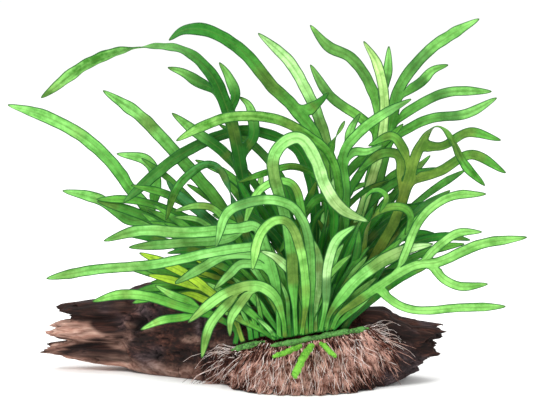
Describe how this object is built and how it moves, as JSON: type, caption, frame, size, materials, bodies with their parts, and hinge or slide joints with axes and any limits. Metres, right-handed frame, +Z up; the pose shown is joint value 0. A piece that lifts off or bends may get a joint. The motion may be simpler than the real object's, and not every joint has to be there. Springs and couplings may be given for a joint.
{
  "type": "java fern on driftwood",
  "caption": "Clump of narrow, forked java fern fronds on a creeping rhizome, its roots gripping a weathered piece of driftwood that lies flat.",
  "frame": {"origin": "on the driftwood's flat underside, below the middle of the plant", "axes": "+X along the driftwood from its split end to its tapered end, +Y from the front to the back, +Z up"},
  "size_m": [0.3915, 0.1836, 0.2747],
  "materials": {
    "driftwood": "waterlogged, weathered, grain open",
    "leaf": "leathery leaf with a soft satin cuticle",
    "rhizome": "scaly green rhizome bark",
    "roots": "matted fine roots, dull"
  },
  "bodies": {
    "root": {"driftwood_trunk": "driftwood", "driftwood_upper_limb": "driftwood", "driftwood_left_plank": "driftwood", "driftwood_lower_prong": "driftwood", "root_mat": "roots", "rhizome_left": "rhizome", "rhizome_front": "rhizome", "rhizome_middle": "rhizome", "rhizome_back": "rhizome", "rhizome_stub_left": "rhizome", "rhizome_stub_middle": "rhizome", "rhizome_stub_right": "rhizome", "frond_left_hand": "leaf", "frond_tall_arch": "leaf", "frond_long_blade": "leaf", "frond_mid_arch": "leaf", "frond_forward_arch": "leaf", "frond_back_arch": "leaf", "frond_high_blade": "leaf", "frond_top_right": "leaf", "frond_back_fork": "leaf", "frond_pale_blade": "leaf", "frond_low_right_fork": "leaf", "frond_staghorn": "leaf", "frond_right_staghorn": "leaf", "frond_right_blade": "leaf", "frond_olive_crook": "leaf", "frond_small_crook": "leaf", "frond_bright_arch": "leaf", "frond_level_blade": "leaf", "frond_left_drop": "leaf", "frond_left_hook": "leaf", "frond_inner_drop": "leaf", "frond_upright_strap": "leaf", "frond_short_hook": "leaf", "frond_left_fan": "leaf", "frond_front_fork": "leaf", "frond_log_leaf": "leaf", "frond_pale_strap": "leaf", "frond_broad_front": "leaf", "frond_tall_front": "leaf", "frond_dark_inner": "leaf", "frond_dark_side": "leaf", "frond_grey_inner": "leaf", "frond_short_bud_left": "leaf", "frond_short_bud_right": "leaf", "frond_olive_strap": "leaf", "frond_thin_inner": "leaf", "frond_front_small": "leaf", "frond_blue_arch": "leaf", "frond_blue_blade": "leaf", "frond_short_left_upper": "leaf", "frond_short_left_lower": "leaf", "frond_stem_left": "leaf", "frond_stem_middle": "leaf", "frond_stem_right": "leaf", "frond_young_tuft": "leaf", "frond_rear_left": "leaf", "frond_rear_right": "leaf"}
  },
  "joints": []
}
